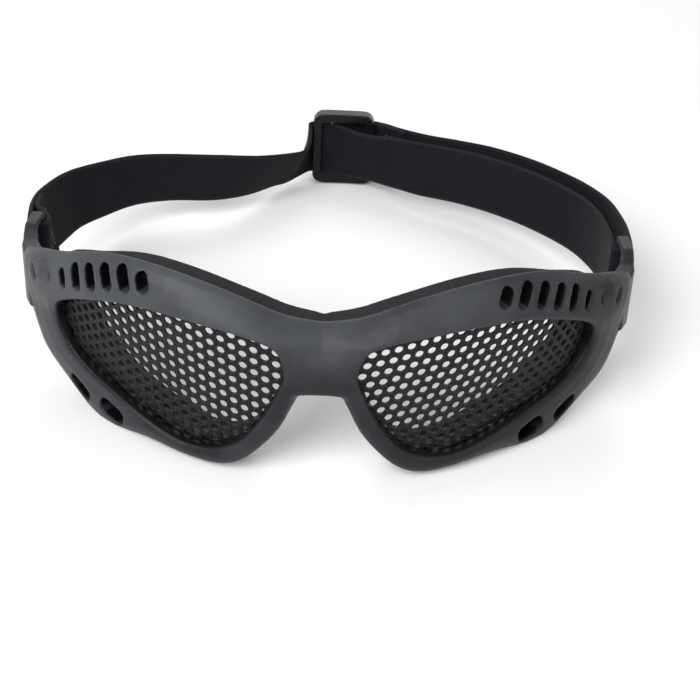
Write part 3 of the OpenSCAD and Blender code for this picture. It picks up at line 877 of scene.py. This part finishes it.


# %% [markdown]
# The frame is dark grey rubber with a thin pale haze. It is strongest on the brow and towards the
# -X end, as in the photograph, and absent on the ears. In the vents, the grooves and other hollows
# the colour is painted shade, near black and darker than the rubber's own. A satin grain comes from
# the mould, so light spreads over it softly.

# %% Rubber
rubber_mat, tree, shader = material("hazed_rubber", Specular_IOR_Level=0.17)
place = object_place(tree)
skin_grain = place_group(tree, grain, Vector=place, Grains_per_metre=2600.0)
sides = tree.nodes.new("ShaderNodeSeparateXYZ")
tree.links.new(place, sides.inputs[0])
to_one_end = ramp(tree, sides.outputs[0], -0.07, 0.09, 0.23, -0.24)
on_brow = ramp(tree, sides.outputs[2], 0.03, 0.05, -0.13, 0.22)
before_bars = ramp(tree, sides.outputs[1], -0.028, -0.036)
patchy = calc(tree, "MULTIPLY", skin_grain["Patches"], 0.22)
haze = calc(tree, "ADD", calc(tree, "ADD", to_one_end, on_brow), patchy)
haze = calc(tree, "MULTIPLY", haze, before_bars, clamp=True)
coat = blend_colour(tree, haze, (0.0115, 0.012, 0.0145), (0.088, 0.095, 0.104))
worn = place_group(tree, wear, Vector=place, Amount=0.4)
coat = blend_colour(tree, worn["Mask"], coat, (0.085, 0.088, 0.098))
# painted shade: ambient occlusion makes the colour near black in the rubber's hollows
recess_occlusion = tree.nodes.new("ShaderNodeAmbientOcclusion")
recess_occlusion.samples = 8
recess_occlusion.only_local = True
recess_occlusion.inputs["Distance"].default_value = 5 * MM
out_of_recess_shade = ramp(tree, recess_occlusion.outputs["AO"], 0.3, 0.72)
# painted shade on the walls of the grooves and vents, from the number kept on each vertex
wall_shade_read = tree.nodes.new("ShaderNodeAttribute")
wall_shade_read.attribute_name = "wall_shade"
out_of_wall_shade = calc(tree, "SUBTRACT", 1.0, wall_shade_read.outputs["Fac"])
out_of_painted_shade = calc(tree, "MULTIPLY", out_of_recess_shade, out_of_wall_shade, clamp=True)
# near black where either painted shade lies, the coat's colour elsewhere
feed(tree, blend_colour(tree, out_of_painted_shade, (0.002, 0.002, 0.003), coat), shader["Base Color"])
feed(tree, ramp(tree, skin_grain["Patches"], 0.0, 1.0, 0.4, 0.54), shader["Roughness"])
feed(tree, bump(tree, skin_grain["Height"], 0.3, 0.03), shader["Normal"])
rubber.data.materials.append(rubber_mat)

# %% [markdown]
# Open-cell foam: thousands of pores about half a millimetre wide. A cell pattern gives their rims,
# and painted shade makes the colour darker down in each pore. Foam has hardly any gloss.

# %% Foam
foam_mat, tree, shader = material("open_foam", Roughness=1.0, Specular_IOR_Level=0.12)
place = object_place(tree)
pores = tree.nodes.new("ShaderNodeTexVoronoi")
pores.feature = "F1"
tree.links.new(place, pores.inputs["Vector"])
pores.inputs["Scale"].default_value = 1900
depth = ramp(tree, pores.outputs["Distance"], 0.15, 0.6)
patches = noise(tree, place, 90.0, 3.0)
# painted shade darkens the colour down in each pore; the patches are random tone
pore_shade_and_patches = calc(tree, "MULTIPLY", ramp(tree, depth, 0.0, 1.0, 0.55, 1.0),
            ramp(tree, patches, 0.3, 0.7, 0.7, 1.0), clamp=True)
pore_colour = blend_colour(tree, pore_shade_and_patches, (0.006, 0.006, 0.007), (0.03, 0.03, 0.033))
feed(tree, pore_colour, shader["Base Color"])
feed(tree, bump(tree, depth, 0.35, 0.1), shader["Normal"])
foam.data.materials.append(foam_mat)

# %% [markdown]
# The sheet is steel with a black powder coat: nearly black, with an orange-peel skin, and a
# little grey where the holes' rims are rubbed.

# %% Steel mesh
steel_mat, tree, shader = material("coated_steel", Specular_IOR_Level=0.2)
place = object_place(tree)
peel = place_group(tree, grain, Vector=place, Grains_per_metre=3200.0)
rims = place_group(tree, wear, Vector=place, Amount=0.2)
base = blend_colour(tree, peel["Patches"], (0.004, 0.004, 0.005), (0.009, 0.009, 0.01))
feed(tree, blend_colour(tree, rims["Mask"], base, (0.05, 0.05, 0.055)), shader["Base Color"])
feed(tree, ramp(tree, peel["Patches"], 0.0, 1.0, 0.42, 0.58), shader["Roughness"])
feed(tree, bump(tree, peel["Height"], 0.35, 0.03), shader["Normal"])
for sheet in lenses:
    sheet.data.materials.append(steel_mat)

# %% [markdown]
# The strap is elastic webbing: rubber cords run along it and fine rows of yarn cross over and under
# them. The pattern reads the webbing's own UV map, in metres, so it follows every fold, and the
# gaps between its threads get painted shade. The selvedges are woven closer and catch a little more
# light, which is painted in as a lighter colour: a painted highlight. Yarn has a faint sheen.

# %% Webbing finish
web_mat, tree, shader = material("elastic_webbing", Sheen_Weight=0.03, Sheen_Roughness=0.5,
                                 Specular_IOR_Level=0.1, Roughness=0.85)
on_strip = tree.nodes.new("ShaderNodeTexCoord").outputs["UV"]
threads = place_group(tree, weave, UV=on_strip, Rows_per_metre=850.0, Cords_per_metre=700.0)
strip = tree.nodes.new("ShaderNodeSeparateXYZ")
tree.links.new(on_strip, strip.inputs[0])
# painted highlight: the selvedges are painted lighter, as well as being woven closer
selvedge = ramp(tree, calc(tree, "ABSOLUTE", strip.outputs[1]), 8.6 * MM, 9.4 * MM)
yarn = blend_colour(tree, selvedge, (0.0085, 0.009, 0.0125), (0.018, 0.019, 0.023))
fade = ramp(tree, noise(tree, object_place(tree), 60.0, 3.0), 0.35, 0.7, 0.0, 0.4)
yarn = blend_colour(tree, fade, yarn, (0.015, 0.016, 0.021))
# painted shade: the webbing is darker in the gaps between its threads
dark = calc(tree, "MULTIPLY", threads["Gap shade"], 0.6, clamp=True)
feed(tree, blend_colour(tree, dark, yarn, (0.002, 0.002, 0.003)), shader["Base Color"])
feed(tree, bump(tree, threads["Height"], 0.45, 0.13), shader["Normal"])
for piece in web_pieces:
    piece.data.materials.append(web_mat)

# %% [markdown]
# The slider is smooth black plastic, with faint patches in its gloss and slightly rubbed edges. The
# thread is twisted nylon, a touch lighter than the webbing it holds; its twist is painted as
# lighter and darker stripes, a painted highlight and shade on its plies. The CAD's own tacks get it
# too, although the stitches stand for them.

# %% Slider plastic and thread
gloss_mat, tree, shader = material("gloss_plastic", Specular_IOR_Level=0.2)
place = object_place(tree)
marks = place_group(tree, grain, Vector=place, Grains_per_metre=1800.0)
rubs = place_group(tree, wear, Vector=place, Amount=0.12)
base = blend_colour(tree, marks["Patches"], (0.003, 0.003, 0.004), (0.006, 0.006, 0.007))
feed(tree, blend_colour(tree, rubs["Mask"], base, (0.03, 0.03, 0.033)), shader["Base Color"])
feed(tree, ramp(tree, marks["Patches"], 0.0, 1.0, 0.26, 0.4), shader["Roughness"])
feed(tree, bump(tree, marks["Height"], 0.08, 0.02), shader["Normal"])
slider.data.materials.append(gloss_mat)

thread_mat, tree, shader = material("nylon_thread", Roughness=0.5, Sheen_Weight=0.1)
place = object_place(tree)
twist_shading = tree.nodes.new("ShaderNodeTexWave")
twist_shading.bands_direction = "DIAGONAL"
tree.links.new(place, twist_shading.inputs["Vector"])
twist_shading.inputs["Scale"].default_value = 700
# painted highlight and shade: the twist's stripes set the colour as well as the bump
feed(tree, blend_colour(tree, twist_shading.outputs["Fac"], (0.012, 0.012, 0.014), (0.04, 0.04, 0.045)),
     shader["Base Color"])
feed(tree, bump(tree, twist_shading.outputs["Fac"], 0.4, 0.05), shader["Normal"])
for tack in (ear_stitches, slider_stitches):
    tack.data.materials.append(thread_mat)
for tack in ("ear_tack", "slider_tack"):
    frame["nodes"][tack].data.materials.clear()
    frame["nodes"][tack].data.materials.append(thread_mat)

# %% [markdown]
# The photograph has a plain white ground. The floor is nearly white and only keeps the soft
# shadow. Away from the goggles it turns into plain white for the camera, so no edge of it shows
# from low down. The world lights the object gently, and shows as pure white to the camera and in
# reflections, so that the background doesn't need more light on the object.

# %% Floor
bpy.ops.object.select_all(action="DESELECT")
bpy.ops.mesh.primitive_plane_add(size=6)
floor = bpy.context.object
floor.name = floor.data.name = "floor"
floor_mat, tree, shader = material("pale_floor", Roughness=0.9)
place = object_place(tree)
pale = blend_colour(tree, noise(tree, place, 12.0), (0.9, 0.9, 0.9), (0.92, 0.92, 0.92))
feed(tree, pale, shader["Base Color"])
distance = tree.nodes.new("ShaderNodeVectorMath")
distance.operation = "LENGTH"
tree.links.new(place, distance.inputs[0])
far = ramp(tree, distance.outputs["Value"], 0.3, 0.9)
for_camera = tree.nodes.new("ShaderNodeLightPath").outputs["Is Camera Ray"]
fade_out = tree.nodes.new("ShaderNodeMixShader")
plain_white = tree.nodes.new("ShaderNodeEmission")
far_for_camera = calc(tree, "MULTIPLY", far, for_camera)
near_floor = tree.nodes["Principled BSDF"].outputs[0]
for value, socket in zip((far_for_camera, near_floor, plain_white.outputs[0]), fade_out.inputs):
    tree.links.new(value, socket)
tree.links.new(fade_out.outputs[0], tree.nodes["Material Output"].inputs["Surface"])
floor.data.materials.append(floor_mat)

# %% World
world = bpy.data.worlds.new("studio")
bpy.context.scene.world = world
world.use_nodes = True
tree = world.node_tree
soft = tree.nodes["Background"]
soft.inputs["Color"].default_value = (1, 1, 1, 1)
soft.inputs["Strength"].default_value = 0.42
white = tree.nodes.new("ShaderNodeBackground")
white.inputs["Color"].default_value = (1, 1, 1, 1)
rays = tree.nodes.new("ShaderNodeLightPath").outputs
seen = calc(tree, "ADD", calc(tree, "ADD", rays["Is Camera Ray"], rays["Is Glossy Ray"]),
            rays["Is Transmission Ray"], clamp=True)
mix = tree.nodes.new("ShaderNodeMixShader")
for value, socket in zip((seen, soft.outputs[0], white.outputs[0]), mix.inputs):
    tree.links.new(value, socket)
tree.links.new(mix.outputs[0], tree.nodes["World Output"].inputs["Surface"])


# %% Lamps
LIT = Vector((0, 0, 0.03))


def softbox(name, place, size, power):
    light = bpy.data.lights.new(name, "AREA")
    light.shape = "DISK"
    light.size = size
    light.energy = power
    lamp = bpy.data.objects.new(name, light)
    bpy.context.scene.collection.objects.link(lamp)
    lamp.location = place
    lamp.rotation_euler = (LIT - Vector(place)).to_track_quat("-Z", "Y").to_euler()


softbox("key", (-0.45, -0.75, 0.75), 0.7, 12.5)
softbox("fill", (0.6, -0.6, 0.5), 0.8, 2.2)
softbox("back", (0, 0.8, 0.7), 0.7, 3)

# %% [markdown]
# The camera stands where the photograph was taken from. Its place, lens and slight roll were
# worked out from the rows of holes in both lenses, which are a known, even grid.

# %% Camera
cam_data = bpy.data.cameras.new("camera")
cam_data.lens = 64.47
cam_data.sensor_width = 36
cam_data.clip_start, cam_data.clip_end = 0.01, 20
camera = bpy.data.objects.new("camera", cam_data)
bpy.context.scene.collection.objects.link(camera)
bpy.context.scene.camera = camera
yaw, elevation, roll = math.radians(-0.325), math.radians(35.0), math.radians(-2.578)
back = Vector((math.sin(yaw) * math.cos(elevation), -math.cos(yaw) * math.cos(elevation),
               math.sin(elevation)))
right = Vector((math.cos(yaw), math.sin(yaw), 0))
up = back.cross(right)
c, s = math.cos(roll), math.sin(roll)
turned = Matrix((c * right - s * up, s * right + c * up, back)).transposed()
camera.matrix_world = Matrix.LocRotScale(
    Vector((0.0058, -0.35823, 0.2317)), turned.to_quaternion(), Vector((1, 1, 1)))
bpy.context.scene.view_settings.view_transform = "Standard"
